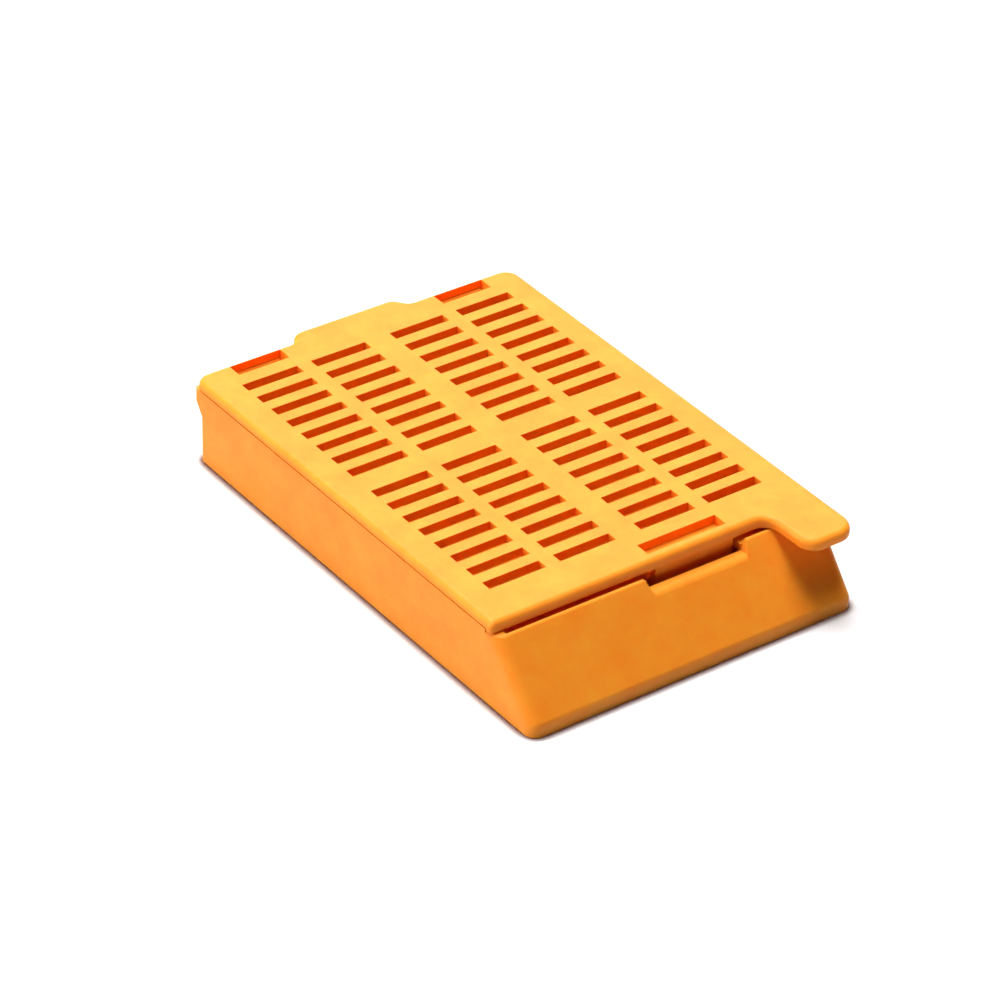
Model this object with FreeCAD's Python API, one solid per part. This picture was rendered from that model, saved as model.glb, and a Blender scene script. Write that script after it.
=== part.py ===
import FreeCAD, Part
import math
import os

# Tissue cassette in moulded acetal: an open tray (base) with a sloped writing panel, and a
# slotted cover (lid) that hooks onto two bars at the rear and snaps shut behind the panel's lip.
# Millimetres. X runs across the cassette, +Y to the rear, +Z up. The origin is the centre of the
# footprint on the bench, and the writing panel faces -Y.

# --- Overall size ------------------------------------------------------------------------------
width = 28.5               # across, at the rim
length = 41.0              # from the writing panel's foot to the rear edge of the lid
height = 6.7               # bench to the top of the closed lid
side_draft = 0.15          # how far each side wall leans in at the bench

# --- Thicknesses -------------------------------------------------------------------------------
lid_thickness = 0.70
strip_thickness = 0.86     # lid along its front edge, thumb tab included
floor_thickness = 0.9
wall = 1.0                 # side, front and rear walls of the tray
panel_thickness = 1.0      # writing panel, square to its face
web_thickness = 1.0        # below the lip, where the panel joins the tray's front wall

# --- Writing panel -----------------------------------------------------------------------------
foot_height = 1.0          # upright foot below the slope
panel_angle = 48.0         # degrees from the bench
lid_setback = 0.54         # the lid's front face stands behind the panel's top edge
lip_thickness = 0.18       # top of the panel, in front of the groove
groove_depth = 0.35        # groove under the lid's front strip, below the top of the lip
groove_gap = 0.10          # front strip to the groove's rear side

# --- Rear flange and hinge ---------------------------------------------------------------------
flange_overhang = 0.75     # lid's rear edge to the rear wall
flange_height = 1.05       # upright rear face of the flange
flange_slope_height = 0.95 # slope under the flange
hinge_depth = 0.30         # hinge axis below the lid's underside, and in from its rear edge
seat_gap = 0.04            # lid over the rim, and hinge bar inside the lid's plane
hook_clearance = 0.05      # hook round its bar
hook_thickness = 0.30
hook_wrap = 60.0           # degrees that the hook runs under the bar
hook_side_gap = 0.20       # hook to the ends of its notch
hook_sweep_gap = 0.10      # hook to the wall behind it as it turns

# --- Rear windows above the hooks, and rear tab ------------------------------------------------
window_inner_x = 6.9
window_outer_margin = 2.95 # window's outer end to the side of the lid
window_depth = 1.3
rear_tab_x = -0.3          # tab's middle
rear_tab_reach = 1.1
rear_tab_root = 10.4
rear_tab_tip = 8.7

# --- Latch -------------------------------------------------------------------------------------
latch_x = 3.30             # tongue's middle, on the thumb tab's side of the cassette's middle
tongue_width = 6.85
tongue_thickness = 0.50
tongue_length = 1.75       # below the front strip
tongue_inset = 0.10        # tongue's face behind the lid's front face
tongue_inner_gap = 1.15    # tongue to the slot's end nearer the cassette's middle
tongue_outer_gap = 0.27    # tongue to the slot's other end
slot_overreach = 0.12      # slot's front wall ahead of the lip's rear face
latch_window_depth = 1.25
latch_window_shift = -0.20 # window's middle to the tongue's
latch_window_setback = 0.19 # window behind the tongue
nose_reach = 0.20
nose_height = 0.60
catch_reach = 0.20
catch_height = 0.55
latch_clearance = 0.06     # nose past the catch, and under it
notch_depth = 0.79         # dip in the panel's lip, as wide as the slot behind it
notch_flare = 0.35         # how much wider the dip is at the top, at each end
notch_radius = 0.75        # slope to the floor of the dip

# --- Slots, the same in the floor and the lid --------------------------------------------------
slot_width = 0.90
slot_pitch = 1.862
spine_width = 2.2          # solid strip along the middle
column_rib = 1.2           # between the two columns of each half
side_margin = 1.35         # outer slot ends to the side wall
middle_bar = 2.01          # solid strip across, between the two blocks of rows
front_margin = 1.27        # slots to the front wall
rear_margin = 1.03         # slots to the rear wall

# --- Thumb tab at the lid's front right corner -------------------------------------------------
thumb_reach = 4.47         # past the lid's front face
thumb_root = 4.57
thumb_taper = 0.14         # lean of the tab's inner side
thumb_root_radius = 1.2
thumb_inner_radius = 1.3   # tip corner nearer the middle
thumb_outer_radius = 1.6   # tip corner on the cassette's side

# --- Roundings ---------------------------------------------------------------------------------
front_corner_radius = 0.9  # side walls to the writing panel and foot
rear_corner_radius = 0.6   # rear corners of the walls and the flange
foot_radius = 0.5          # foot to slope
panel_edge_radius = 0.30   # slope to the top of the lip
lid_corner_radius = 0.3    # lid's front left corner
lid_rear_radius = 1.2      # lid's rear corners
rear_tab_radius = 1.1
rear_tab_root_radius = 0.8
lid_edge_radius = 0.48     # top edge all round the lid
lid_under_radius = 0.12    # lower edge all round the lid
tray_corner_radius = 0.8   # upright inner corners of the tray

# --- Levels and stations worked out from the sizes ---------------------------------------------
half_width = width / 2
front_y = -length / 2
rear_y = length / 2
lid_z = height - lid_thickness
strip_z = height - strip_thickness
rim_z = lid_z - seat_gap
lip_z = strip_z - seat_gap
slope = math.tan(math.radians(panel_angle))
panel_top_y = front_y + (lip_z - foot_height) / slope
lip_rear_y = panel_top_y + lip_thickness
lid_front_y = panel_top_y + lid_setback

hinge_y = rear_y - hinge_depth
hinge_z = lid_z - hinge_depth
bar_radius = hinge_depth - seat_gap
hook_inner = bar_radius + hook_clearance
hook_outer = hook_inner + hook_thickness
rear_wall_y = rear_y - flange_overhang
tray_rear_y = rear_wall_y - wall

tongue_front_y = lid_front_y + tongue_inset
tongue_rear_y = tongue_front_y + tongue_thickness
nose_y = tongue_rear_y + nose_reach
catch_y = nose_y + latch_clearance
front_wall_y = catch_y + catch_reach
tray_front_y = front_wall_y + wall
tray_half = half_width - wall
groove_rear_y = tongue_rear_y + groove_gap
tongue_low_z = strip_z - tongue_length
nose_top_z = tongue_low_z + nose_height
catch_low_z = nose_top_z + latch_clearance
latch_slot_x0 = latch_x - tongue_width / 2 - tongue_inner_gap
latch_slot_x1 = latch_x + tongue_width / 2 + tongue_outer_gap
latch_slot_y = lip_rear_y - slot_overreach

PAST = 1.0                 # how far a cutting tool runs past the face that it opens
TINY = 0.001               # shorter than any real edge
NEAR = 0.02                # two levels closer than this are taken as one
CORNER_SHARE = 0.49        # most of a straight side that the rounding at one end may take
EDGE_SHARE = 0.95          # most of a wall's or ledge's thickness that a rounding may take


def at(y, z, x=0.0):
    """A point in the section plane at station x."""
    return FreeCAD.Vector(x, y, z)


def box(x0, x1, y0, y1, z0, z1):
    """A block between two corners."""
    corner = FreeCAD.Vector(x0, y0, z0)
    return Part.makeBox(x1 - x0, y1 - y0, z1 - z0, corner)


def prism(points, direction):
    """A straight-sided solid: a closed outline pushed along a direction."""
    return Part.Face(Part.makePolygon(points + points[:1])).extrude(direction)


def section(outline, x0, x1):
    """A solid from a (y, z) outline, running from x0 to x1."""
    points = [at(y, z, x0) for y, z in outline]
    return prism(points, FreeCAD.Vector(x1 - x0, 0, 0))


def rounded_outline(corners, z):
    """A closed plan outline at height z, with each (x, y, radius) corner rounded or, at 0, square."""
    spots = [FreeCAD.Vector(x, y, z) for x, y, _ in corners]
    count = len(spots)
    bends = []
    for i, (_, _, radius) in enumerate(corners):
        before = spots[i - 1] - spots[i]
        after = spots[(i + 1) % count] - spots[i]
        half_turn = (math.pi - before.getAngle(after)) / 2
        room = CORNER_SHARE * min(before.Length, after.Length)
        tangent = min(radius * math.tan(half_turn), room)
        fitted = tangent / math.tan(half_turn)
        before.normalize()
        after.normalize()
        inward = before + after
        inward.normalize()
        depth = fitted / math.cos(half_turn) - fitted
        bends.append((spots[i] + before * tangent, spots[i] + inward * depth, spots[i] + after * tangent))
    edges = []
    for i, (start, middle, end) in enumerate(bends):
        edges.append(Part.makeLine(bends[i - 1][2], start))
        if (end - start).Length > TINY:
            edges.append(Part.Arc(start, middle, end).toShape())
    return Part.Face(Part.Wire(edges))


def round_edges(solid, radius, chosen):
    """Round every straight or curved edge whose middle point passes the test."""
    edges = [edge for edge in solid.Edges if chosen(edge)]
    return solid.makeFillet(radius, edges)


def middle_of(edge):
    """The point half way along an edge."""
    first, last = edge.ParameterRange
    return edge.valueAt((first + last) / 2)


def direction_of(edge):
    """The way an edge points, from its first end to its last."""
    first, last = edge.ParameterRange
    way = edge.valueAt(last) - edge.valueAt(first)
    if way.Length > TINY:
        way.normalize()
    return way


def close_to(a, b):
    """Whether two levels are the same but for a hair."""
    return abs(a - b) < NEAR


def runs_across(edge):
    """Whether an edge is parallel to X."""
    return abs(direction_of(edge).x) > 1 - TINY


# --- Slot pattern ------------------------------------------------------------------------------
def slot_columns():
    """The X range of each column of slots."""
    length_left = tray_half - side_margin - spine_width / 2 - column_rib
    slot_length = length_left / 2
    ranges = []
    for side in (-1, 1):
        start = spine_width / 2
        for _ in range(2):
            ends = sorted((side * start, side * (start + slot_length)))
            ranges.append(ends)
            start += slot_length + column_rib
    return ranges


def slot_rows():
    """The Y of each row's centre, in two blocks with the middle bar between them."""
    field_front = tray_front_y + front_margin
    field_rear = tray_rear_y - rear_margin
    block = (field_rear - field_front - middle_bar) / 2
    count = 1 + round((block - slot_width) / slot_pitch)
    while (count - 1) * slot_pitch + slot_width > block + slot_width / 2:
        count -= 1
    rows = []
    for block_centre in (field_front + block / 2, field_rear - block / 2):
        first = block_centre - (count - 1) * slot_pitch / 2
        for i in range(count):
            rows.append(first + i * slot_pitch)
    return rows


def slot_cutters(z0, z1):
    """One through cutter for every slot."""
    cutters = []
    for x0, x1 in slot_columns():
        for y in slot_rows():
            cutters.append(box(x0, x1, y - slot_width / 2, y + slot_width / 2, z0, z1))
    return cutters


# --- Features shared by the two pieces ---------------------------------------------------------
def hook_ranges():
    """The X range of each hook, and of the window over it."""
    outer = half_width - window_outer_margin
    ranges = []
    for side in (-1, 1):
        window = sorted((side * window_inner_x, side * outer))
        hook = (window[0] + hook_side_gap, window[1] - hook_side_gap)
        ranges.append((hook, window))
    return ranges


# --- Base --------------------------------------------------------------------------------------
def base_body():
    """The tray's outside: sides with draft, foot, slope, lip and rim, still solid."""
    outline = [
        (front_y, 0),
        (front_y, foot_height),
        (panel_top_y, lip_z),
        (groove_rear_y, lip_z),
        (groove_rear_y, rim_z),
        (rear_wall_y, rim_z),
        (rear_wall_y, 0),
    ]
    body = section(outline, -half_width, half_width).common(drafted_sides())

    def on_side(edge):
        return abs(middle_of(edge).x) > half_width - side_draft - NEAR

    def front_corner(edge):
        rises = abs(direction_of(edge).z) > TINY
        return on_side(edge) and rises and middle_of(edge).y < panel_top_y

    def rear_corner(edge):
        rises = abs(direction_of(edge).z) > TINY
        return on_side(edge) and rises and close_to(middle_of(edge).y, rear_wall_y)

    def foot_edge(edge):
        point = middle_of(edge)
        at_foot = close_to(point.y, front_y) and close_to(point.z, foot_height)
        return runs_across(edge) and at_foot

    def lip_edge(edge):
        point = middle_of(edge)
        at_lip = close_to(point.y, panel_top_y) and close_to(point.z, lip_z)
        return runs_across(edge) and at_lip

    body = round_edges(body, min(front_corner_radius, EDGE_SHARE * wall), front_corner)
    body = round_edges(body, min(rear_corner_radius, EDGE_SHARE * wall), rear_corner)
    body = round_edges(body, min(foot_radius, foot_height / 2), foot_edge)
    return round_edges(body, min(panel_edge_radius, EDGE_SHARE * lid_setback), lip_edge)


def drafted_sides():
    """A block as long as the cassette whose sides lean in towards the bench."""
    low_half = half_width - side_draft
    points = [
        at(front_y - PAST, 0, -low_half),
        at(front_y - PAST, 0, low_half),
        at(front_y - PAST, rim_z, half_width),
        at(front_y - PAST, rim_z, -half_width),
    ]
    return prism(points, FreeCAD.Vector(0, length + 2 * PAST, 0))


def rear_plan(y, z):
    """The plan of the flange where its rear face is at y, its front edge ahead of the wall's corners."""
    inner_y = rear_wall_y - flange_overhang - rear_corner_radius - NEAR
    return rounded_outline([
        (-half_width, inner_y, 0),
        (half_width, inner_y, 0),
        (half_width, y, rear_corner_radius),
        (-half_width, y, rear_corner_radius),
    ], z)


def rear_flange():
    """The lip along the rear wall that the lid turns on, its top edge round about the hinge."""
    face_y = hinge_y + bar_radius
    low_z = rim_z - flange_height
    lean = FreeCAD.Vector(0, face_y - rear_wall_y, flange_slope_height)
    sloped = rear_plan(rear_wall_y, low_z - flange_slope_height).extrude(lean)
    upright = rear_plan(face_y, low_z).extrude(FreeCAD.Vector(0, 0, flange_height))

    round_top = at(hinge_y, rim_z)
    round_middle = at(hinge_y + bar_radius * math.sin(math.pi / 4),
                      hinge_z + bar_radius * math.cos(math.pi / 4))
    round_end = at(face_y, hinge_z)
    corners = [round_end, at(face_y, 0), at(0, 0), at(0, rim_z), round_top]
    edges = [Part.makeLine(a, b) for a, b in zip(corners, corners[1:])]
    edges.append(Part.Arc(round_top, round_middle, round_end).toShape())
    profile = Part.Face(Part.Wire(edges))
    profile.translate(FreeCAD.Vector(-half_width, 0, 0))
    round_topped = profile.extrude(FreeCAD.Vector(width, 0, 0))
    return upright.common(round_topped).fuse(sloped).common(drafted_sides())


def tray_hollow():
    """The space for the tissue, open to the top."""
    radius = min(tray_corner_radius, wall)
    plan = rounded_outline([
        (-tray_half, tray_front_y, radius),
        (tray_half, tray_front_y, radius),
        (tray_half, tray_rear_y, radius),
        (-tray_half, tray_rear_y, radius),
    ], floor_thickness)
    return plan.extrude(FreeCAD.Vector(0, 0, height))


def panel_hollow():
    """The channel behind the writing panel, open to the bench."""
    offset = panel_thickness / math.sin(math.radians(panel_angle))
    web_low_z = lip_z - web_thickness
    foot_top_y = front_y + offset
    outline = [
        (foot_top_y, -PAST),
        (foot_top_y, foot_height),
        (foot_top_y + (web_low_z - foot_height) / slope, web_low_z),
        (front_wall_y, web_low_z),
        (front_wall_y, -PAST),
    ]
    return section(outline, -tray_half, tray_half)


def hinge_notches():
    """The notches that the hooks turn in: round about the bars, and the flange below them."""
    cutters = []
    sweep = hook_outer + hook_sweep_gap
    for _, (x0, x1) in hook_ranges():
        cutters.append(box(x0, x1, hinge_y - sweep, rear_y + PAST, hinge_z - sweep, height))
        cutters.append(box(x0, x1, rear_wall_y, rear_y + PAST, floor_thickness, height))
    return cutters


def hinge_bars():
    """The round bars across the notches, on the hinge axis."""
    bars = []
    overlap = wall / 4
    for _, (x0, x1) in hook_ranges():
        start = at(hinge_y, hinge_z, x0 - overlap)
        long = x1 - x0 + 2 * overlap
        bars.append(Part.makeCylinder(bar_radius, long, start, FreeCAD.Vector(1, 0, 0)))
    return bars


def groove():
    """The groove behind the lip, under the lid's front strip, from side wall to side wall."""
    low_z = lip_z - groove_depth
    return box(-tray_half, tray_half, lip_rear_y, groove_rear_y, low_z, height)


def lip_notch():
    """The dip in the lip in front of the tongue, wider at the top and rounded to the slope."""
    floor_z = lip_z - notch_depth
    edge_y = front_y + (floor_z - foot_height) / slope
    turn = math.radians(panel_angle)
    room = EDGE_SHARE * (latch_slot_y - edge_y)
    radius = min(notch_radius, room / math.tan(turn / 2))
    tangent = radius * math.tan(turn / 2)
    start = at(edge_y + tangent, floor_z)
    middle = at(start.y - radius * math.sin(turn / 2), floor_z - radius * (1 - math.cos(turn / 2)))
    end = at(edge_y - tangent * math.cos(turn), floor_z - tangent * math.sin(turn))
    outside_y = front_y - PAST
    corners = [end, at(outside_y, end.z), at(outside_y, height), at(lip_rear_y, height),
               at(lip_rear_y, floor_z), start]
    edges = [Part.makeLine(a, b) for a, b in zip(corners, corners[1:])]
    edges.append(Part.Arc(start, middle, end).toShape())
    profile = Part.Face(Part.Wire(edges))
    reach = notch_flare + PAST
    profile.translate(FreeCAD.Vector(latch_slot_x0 - reach, 0, 0))
    dip = profile.extrude(FreeCAD.Vector(latch_slot_x1 - latch_slot_x0 + 2 * reach, 0, 0))

    lean = notch_flare / notch_depth
    below = lean * (floor_z - end.z)
    above = lean * (height - floor_z)
    points = [
        at(outside_y, end.z, latch_slot_x0 + below),
        at(outside_y, end.z, latch_slot_x1 - below),
        at(outside_y, height, latch_slot_x1 + above),
        at(outside_y, height, latch_slot_x0 - above),
    ]
    return dip.common(prism(points, FreeCAD.Vector(0, lip_rear_y - outside_y, 0)))


def tongue_slot():
    """The slot that the tongue drops into, open below to the channel behind the panel."""
    low_z = lip_z - web_thickness - PAST
    return box(latch_slot_x0, latch_slot_x1, latch_slot_y, front_wall_y, low_z, height)


def catch():
    """The rib on the front wall that the nose passes, sloped above and below."""
    lead = catch_height / 3
    top_z = catch_low_z + catch_height
    root_y = front_wall_y + wall / 2
    outline = [
        (root_y, catch_low_z),
        (front_wall_y, catch_low_z),
        (catch_y, catch_low_z + lead),
        (catch_y, top_z - lead),
        (front_wall_y, top_z),
        (root_y, top_z),
    ]
    return section(outline, latch_slot_x0, latch_slot_x1)


def make_base():
    base = base_body().fuse(rear_flange())
    cutters = [tray_hollow(), panel_hollow(), groove(), lip_notch(), tongue_slot()]
    cutters += slot_cutters(-PAST, floor_thickness + PAST)
    cutters += hinge_notches()
    base = base.cut(cutters)
    return base.fuse(hinge_bars() + [catch()]).removeSplitter()


# --- Lid ---------------------------------------------------------------------------------------
def lid_plan():
    """The lid's outline, with the thumb tab in front and the short tab at the rear."""
    thumb_left = half_width - thumb_root
    thumb_y = lid_front_y - thumb_reach
    tab_y = rear_y + rear_tab_reach
    root = rear_tab_root / 2
    tip = rear_tab_tip / 2
    return [
        (-half_width, lid_front_y, lid_corner_radius),
        (thumb_left, lid_front_y, thumb_root_radius),
        (thumb_left + thumb_taper, thumb_y, thumb_inner_radius),
        (half_width, thumb_y, thumb_outer_radius),
        (half_width, rear_y, lid_rear_radius),
        (rear_tab_x + root, rear_y, rear_tab_root_radius),
        (rear_tab_x + tip, tab_y, rear_tab_radius),
        (rear_tab_x - tip, tab_y, rear_tab_radius),
        (rear_tab_x - root, rear_y, rear_tab_root_radius),
        (-half_width, rear_y, lid_rear_radius),
    ]


def lid_plate():
    """The plate with its thicker front strip, its top edge well rounded and its lower just broken."""
    plate = rounded_outline(lid_plan(), strip_z).extrude(FreeCAD.Vector(0, 0, strip_thickness))
    behind = rear_y + rear_tab_reach + PAST
    relief = box(-half_width - PAST, half_width + PAST, tongue_rear_y, behind, strip_z - PAST, lid_z)
    plate = plate.cut(relief)

    def top_edge(edge):
        return close_to(middle_of(edge).z, height)

    def lower_edge(edge):
        point = middle_of(edge)
        in_front = point.y < tongue_rear_y - NEAR
        level = strip_z if in_front else lid_z
        on_step = close_to(point.y, tongue_rear_y)
        return close_to(point.z, level) and not on_step

    under_radius = min(lid_under_radius, lid_thickness / 4)
    room = EDGE_SHARE * (lid_thickness - under_radius)
    plate = round_edges(plate, min(lid_edge_radius, room), top_edge)
    return round_edges(plate, under_radius, lower_edge)


def lid_windows():
    """The openings over the hooks and behind the tongue."""
    cutters = []
    low_z = lid_z - PAST
    for _, (x0, x1) in hook_ranges():
        cutters.append(box(x0, x1, hinge_y - window_depth, hinge_y, low_z, height + PAST))
    x0 = latch_x + latch_window_shift - tongue_width / 2
    y0 = tongue_rear_y + latch_window_setback
    y1 = y0 + latch_window_depth
    cutters.append(box(x0, x0 + tongue_width, y0, y1, low_z, height + PAST))
    return cutters


def hook(x0, x1):
    """A hook that comes down behind the bar and under it, square-ended."""
    def on_circle(radius, degrees):
        angle = math.radians(degrees)
        return at(hinge_y + radius * math.cos(angle), hinge_z + radius * math.sin(angle), x0)

    top = 90.0
    end = -hook_wrap
    middle = (top + end) / 2
    edges = [
        Part.Arc(on_circle(hook_outer, top), on_circle(hook_outer, middle),
                 on_circle(hook_outer, end)).toShape(),
        Part.makeLine(on_circle(hook_outer, end), on_circle(hook_inner, end)),
        Part.Arc(on_circle(hook_inner, end), on_circle(hook_inner, middle),
                 on_circle(hook_inner, top)).toShape(),
        Part.makeLine(on_circle(hook_inner, top), on_circle(hook_outer, top)),
    ]
    return Part.Face(Part.Wire(edges)).extrude(FreeCAD.Vector(x1 - x0, 0, 0))


def tongue():
    """The latch tongue, with its nose pointing to the rear."""
    lead = nose_height / 3
    overlap = lid_thickness / 2
    outline = [
        (tongue_front_y, lid_z + overlap),
        (tongue_front_y, tongue_low_z + lead),
        (tongue_front_y + lead, tongue_low_z),
        (tongue_rear_y, tongue_low_z),
        (nose_y, tongue_low_z + lead),
        (nose_y, nose_top_z - lead),
        (tongue_rear_y, nose_top_z),
        (tongue_rear_y, lid_z + overlap),
    ]
    half = tongue_width / 2
    return section(outline, latch_x - half, latch_x + half)


def make_lid():
    cutters = lid_windows() + slot_cutters(lid_z - PAST, height + PAST)
    lid = lid_plate().cut(cutters)
    hooks = [hook(x0, x1) for (x0, x1), _ in hook_ranges()]
    return lid.fuse(hooks + [tongue()]).removeSplitter()


# --- Output ------------------------------------------------------------------------------------
def save(name, shape):
    """Write one piece, as a single closed solid."""
    solid = shape.Solids[0]
    solid.exportStep(os.path.join("parts", name + ".step"))
    print(name, "solids", len(shape.Solids), "valid", solid.isValid(),
          "volume %.2f mm3" % solid.Volume)


os.makedirs("parts", exist_ok=True)
save("base", make_base())
save("lid", make_lid())
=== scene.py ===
import math

import bpy
from mathutils import Matrix, Vector

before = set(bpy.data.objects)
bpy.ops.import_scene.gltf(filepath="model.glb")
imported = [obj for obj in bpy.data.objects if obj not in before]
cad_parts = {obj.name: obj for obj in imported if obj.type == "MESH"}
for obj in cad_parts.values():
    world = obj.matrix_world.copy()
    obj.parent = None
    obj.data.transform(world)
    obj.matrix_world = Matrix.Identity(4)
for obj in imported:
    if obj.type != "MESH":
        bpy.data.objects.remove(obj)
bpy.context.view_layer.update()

# A tissue cassette in orange acetal on a white floor. A small soft box lights it from straight
# above, a large one from above the rear, and two more low down from behind at either side. Metres,
# degrees and watts. The cassette's own frame: the writing panel faces -Y.

MM = 0.001
WHITE = (1.0, 1.0, 1.0, 1.0)

# --- Camera: in front, to the left and above, with a long lens ---------------------------------
CAMERA_AZIMUTH = -38.48
CAMERA_ELEVATION = 34.29
CAMERA_ROLL = 3.29
CAMERA_DISTANCE = 310.4 * MM
LENS_MM = 157.4
CLIP_NEAR = 0.01
CLIP_FAR = 20.0
AIM_HEIGHT = 3.4 * MM
AIM_LEFT = 1.383 * MM
AIM_DOWN = 0.743 * MM

# --- Plastic: scales are features a metre ------------------------------------------------------
ACETAL_PALE = (0.99, 0.335, 0.025, 1.0)
ACETAL_DEEP = (0.98, 0.260, 0.015, 1.0)
MOTTLE = {"Scale": 400.0, "Detail": 6.0, "Roughness": 0.70}
MOTTLE_DEEP_AT = 0.30
MOTTLE_PALE_AT = 0.70
SATIN = {"Scale": 260.0, "Detail": 2.0, "Roughness": 0.60}
ROUGHNESS_LOW = 0.40
ROUGHNESS_HIGH = 0.52
GRAIN = {"Scale": 5200.0, "Detail": 2.0, "Roughness": 0.50}
GRAIN_STRENGTH = 0.20
GRAIN_DEPTH = 0.02 * MM
ACETAL_IOR = 1.48
SPECULAR_LEVEL = 0.20
GLOW_WEIGHT = 0.30         # light let through, reddest where it goes deepest
GLOW_RADIUS = (1.0, 0.28, 0.08)
GLOW_SCALE = 1.1 * MM

# --- Floor -------------------------------------------------------------------------------------
FLOOR_HALF = 1.5
FLOOR_COLOR = (0.60, 0.60, 0.60, 1.0)
# painted contact shadow: the floor's colour where little open sky is over it
PAINTED_CONTACT_SHADOW = (0.09, 0.022, 0.005, 1.0)
CONTACT_REACH = 0.9 * MM   # reach of the painted contact shadow, out from the cassette
CONTACT_SAMPLES = 6
CONTACT_DARK_AT = 0.66     # share of open sky over the floor
CONTACT_CLEAR_AT = 0.84
LIFT_NEAR = 0.50           # what the camera sees on top of the lamps' light
LIFT_FAR = 1.7
LIFT_FROM = 40 * MM
LIFT_TO = 160 * MM

# --- Lamps: all aimed at the cassette ----------------------------------------------------------
# Their direct light, where 1 renders a colour as it is written: upper face 1.9, rear 0.9, slope
# 0.7, left side 0.6, right side 0.3, front 0. The upper face is that far above a plain level to
# match the photograph's exposure.
LAMP_DISTANCE = 1.0
LAMPS = [
    # name, azimuth, elevation, size, power
    ("key", 0.0, 90.0, 0.24, 3.35),
    ("rear", 180.0, 68.0, 0.60, 14.8),
    ("left", -115.0, 20.0, 0.60, 6.25),
    ("right", 140.0, 26.0, 0.60, 3.15),
]

# A Mix node has a set of sockets for each kind of data: these are its factor and its colours.
MIX_FACTOR = 0
MIX_COLOR_A = 6
MIX_COLOR_B = 7
MIX_COLOR_OUT = 2


def axes_from(azimuth, elevation, roll=0.0):
    """Right, up and back of a view that looks along +Y at azimuth 0."""
    a = math.radians(azimuth)
    e = math.radians(elevation)
    r = math.radians(roll)
    back = Vector((math.sin(a) * math.cos(e), -math.cos(a) * math.cos(e), math.sin(e)))
    level = Vector((math.cos(a), math.sin(a), 0.0))
    rise = back.cross(level)
    right = math.cos(r) * level + math.sin(r) * rise
    up = -math.sin(r) * level + math.cos(r) * rise
    return right, up, back


def add_camera():
    """The photograph's viewpoint."""
    right, up, back = axes_from(CAMERA_AZIMUTH, CAMERA_ELEVATION, CAMERA_ROLL)
    aim = Vector((0.0, 0.0, AIM_HEIGHT)) - right * AIM_LEFT - up * AIM_DOWN
    place = aim + back * CAMERA_DISTANCE
    data = bpy.data.cameras.new("camera")
    data.lens = LENS_MM
    data.clip_start = CLIP_NEAR
    data.clip_end = CLIP_FAR
    camera = bpy.data.objects.new("camera", data)
    turn = Matrix((right, up, back)).transposed().to_4x4()
    camera.matrix_world = Matrix.Translation(place) @ turn
    bpy.context.scene.collection.objects.link(camera)
    bpy.context.scene.camera = camera


def node(tree, kind, place, values=None):
    """A shader node with its unlinked inputs set by name."""
    made = tree.nodes.new(kind)
    made.location = place
    for name, value in (values or {}).items():
        made.inputs[name].default_value = value
    return made


def ramp(tree, place, low, low_color, high, high_color):
    """A colour ramp with two stops."""
    made = node(tree, "ShaderNodeValToRGB", place)
    first, last = made.color_ramp.elements
    first.position = low
    first.color = low_color
    last.position = high
    last.color = high_color
    return made


def new_material(name):
    material = bpy.data.materials.new(name)
    material.use_nodes = True
    material.node_tree.nodes.clear()
    return material, material.node_tree


def acetal(name):
    """Moulded acetal: slight mottling, a fine satin grain and some light let through."""
    material, tree = new_material(name)
    link = tree.links.new
    where = node(tree, "ShaderNodeTexCoord", (-1200, 0))

    mottle = node(tree, "ShaderNodeTexNoise", (-900, 300), MOTTLE)
    link(where.outputs["Object"], mottle.inputs["Vector"])
    tint = ramp(tree, (-600, 300), MOTTLE_DEEP_AT, ACETAL_DEEP, MOTTLE_PALE_AT, ACETAL_PALE)
    link(mottle.outputs["Fac"], tint.inputs["Fac"])

    satin = node(tree, "ShaderNodeTexNoise", (-900, 0), SATIN)
    link(where.outputs["Object"], satin.inputs["Vector"])
    rough = node(tree, "ShaderNodeMapRange", (-600, 0),
                 {"To Min": ROUGHNESS_LOW, "To Max": ROUGHNESS_HIGH})
    link(satin.outputs["Fac"], rough.inputs["Value"])

    grain = node(tree, "ShaderNodeTexNoise", (-900, -300), GRAIN)
    link(where.outputs["Object"], grain.inputs["Vector"])
    bump = node(tree, "ShaderNodeBump", (-300, -300),
                {"Strength": GRAIN_STRENGTH, "Distance": GRAIN_DEPTH})
    link(grain.outputs["Fac"], bump.inputs["Height"])

    shader = node(tree, "ShaderNodeBsdfPrincipled", (0, 0),
                  {"IOR": ACETAL_IOR, "Specular IOR Level": SPECULAR_LEVEL,
                   "Subsurface Weight": GLOW_WEIGHT, "Subsurface Radius": GLOW_RADIUS,
                   "Subsurface Scale": GLOW_SCALE})
    link(tint.outputs["Color"], shader.inputs["Base Color"])
    link(rough.outputs["Result"], shader.inputs["Roughness"])
    link(bump.outputs["Normal"], shader.inputs["Normal"])
    out = node(tree, "ShaderNodeOutputMaterial", (300, 0))
    link(shader.outputs["BSDF"], out.inputs["Surface"])
    return material


def dress_nodes():
    """Gives both moulded pieces their plastic."""
    for name in ("base", "lid"):
        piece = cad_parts[name]
        piece.data.materials.clear()
        piece.data.materials.append(acetal(name + "_acetal"))


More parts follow.
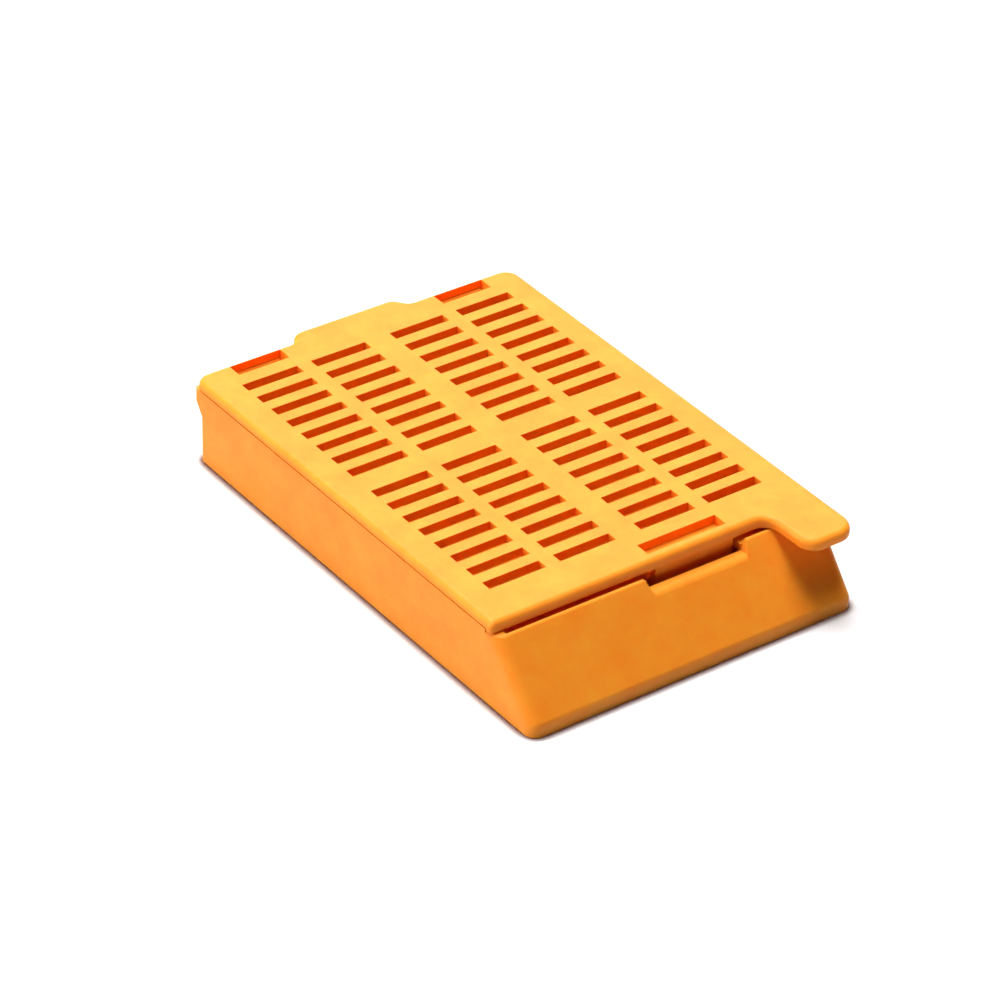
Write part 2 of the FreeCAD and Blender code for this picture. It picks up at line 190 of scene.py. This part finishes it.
def floor_white():
    """A pale matt floor. The camera sees it lifted to white, more so further out, and sees a
    painted dark brown contact shadow right beside the cassette, where ambient occlusion darkens
    the floor's colour."""
    material, tree = new_material("floor_white")
    link = tree.links.new
    seen = node(tree, "ShaderNodeLightPath", (-900, 400))

    contact = node(tree, "ShaderNodeAmbientOcclusion", (-900, 100), {"Distance": CONTACT_REACH})
    contact.samples = CONTACT_SAMPLES
    # painted shadow: the floor's colour goes dark brown where the cassette hides its sky
    painted_shadow = ramp(tree, (-600, 100), CONTACT_DARK_AT, PAINTED_CONTACT_SHADOW, CONTACT_CLEAR_AT, FLOOR_COLOR)
    link(contact.outputs["AO"], painted_shadow.inputs["Fac"])
    shown = node(tree, "ShaderNodeMix", (-450, 250))
    shown.data_type = "RGBA"
    shown.inputs[MIX_COLOR_A].default_value = FLOOR_COLOR
    link(seen.outputs["Is Camera Ray"], shown.inputs[MIX_FACTOR])
    link(painted_shadow.outputs["Color"], shown.inputs[MIX_COLOR_B])
    matt = node(tree, "ShaderNodeBsdfDiffuse", (-300, 100))
    link(shown.outputs[MIX_COLOR_OUT], matt.inputs["Color"])

    where = node(tree, "ShaderNodeTexCoord", (-1300, -200))
    reach = node(tree, "ShaderNodeVectorMath", (-1100, -200))
    reach.operation = "LENGTH"
    link(where.outputs["Object"], reach.inputs[0])
    fade = node(tree, "ShaderNodeMapRange", (-900, -200),
                {"From Min": LIFT_FROM, "From Max": LIFT_TO,
                 "To Min": LIFT_NEAR, "To Max": LIFT_FAR})
    link(reach.outputs["Value"], fade.inputs["Value"])
    level = node(tree, "ShaderNodeMath", (-600, -100))
    level.operation = "MULTIPLY"
    link(seen.outputs["Is Camera Ray"], level.inputs[0])
    link(fade.outputs["Result"], level.inputs[1])
    lift = node(tree, "ShaderNodeEmission", (-300, -100))
    # the lift to white carries the painted contact shadow as well
    link(painted_shadow.outputs["Color"], lift.inputs["Color"])
    link(level.outputs["Value"], lift.inputs["Strength"])

    both = node(tree, "ShaderNodeAddShader", (0, 0))
    link(matt.outputs["BSDF"], both.inputs[0])
    link(lift.outputs["Emission"], both.inputs[1])
    out = node(tree, "ShaderNodeOutputMaterial", (300, 0))
    link(both.outputs["Shader"], out.inputs["Surface"])
    return material


def add_floor():
    mesh = bpy.data.meshes.new("floor")
    half = FLOOR_HALF
    corners = [(-half, -half, 0), (half, -half, 0), (half, half, 0), (-half, half, 0)]
    mesh.from_pydata(corners, [], [(0, 1, 2, 3)])
    mesh.materials.append(floor_white())
    floor = bpy.data.objects.new("floor", mesh)
    bpy.context.scene.collection.objects.link(floor)


def add_lamp(name, azimuth, elevation, size, power):
    """A square soft box."""
    data = bpy.data.lights.new(name, "AREA")
    data.shape = "SQUARE"
    data.size = size
    data.energy = power
    _, _, towards = axes_from(azimuth, elevation)
    lamp = bpy.data.objects.new(name, data)
    lamp.location = towards * LAMP_DISTANCE
    lamp.rotation_euler = towards.to_track_quat("Z", "Y").to_euler()
    bpy.context.scene.collection.objects.link(lamp)


def add_world():
    """White to the camera, and no light of its own."""
    world = bpy.data.worlds.new("world")
    world.use_nodes = True
    bpy.context.scene.world = world
    tree = world.node_tree
    tree.nodes.clear()
    seen = node(tree, "ShaderNodeLightPath", (-300, 0))
    sky = node(tree, "ShaderNodeBackground", (0, 0), {"Color": WHITE})
    tree.links.new(seen.outputs["Is Camera Ray"], sky.inputs["Strength"])
    out = node(tree, "ShaderNodeOutputWorld", (300, 0))
    tree.links.new(sky.outputs["Background"], out.inputs["Surface"])


add_camera()
dress_nodes()
add_floor()
add_world()
for lamp in LAMPS:
    add_lamp(*lamp)
bpy.context.scene.view_settings.view_transform = "Standard"
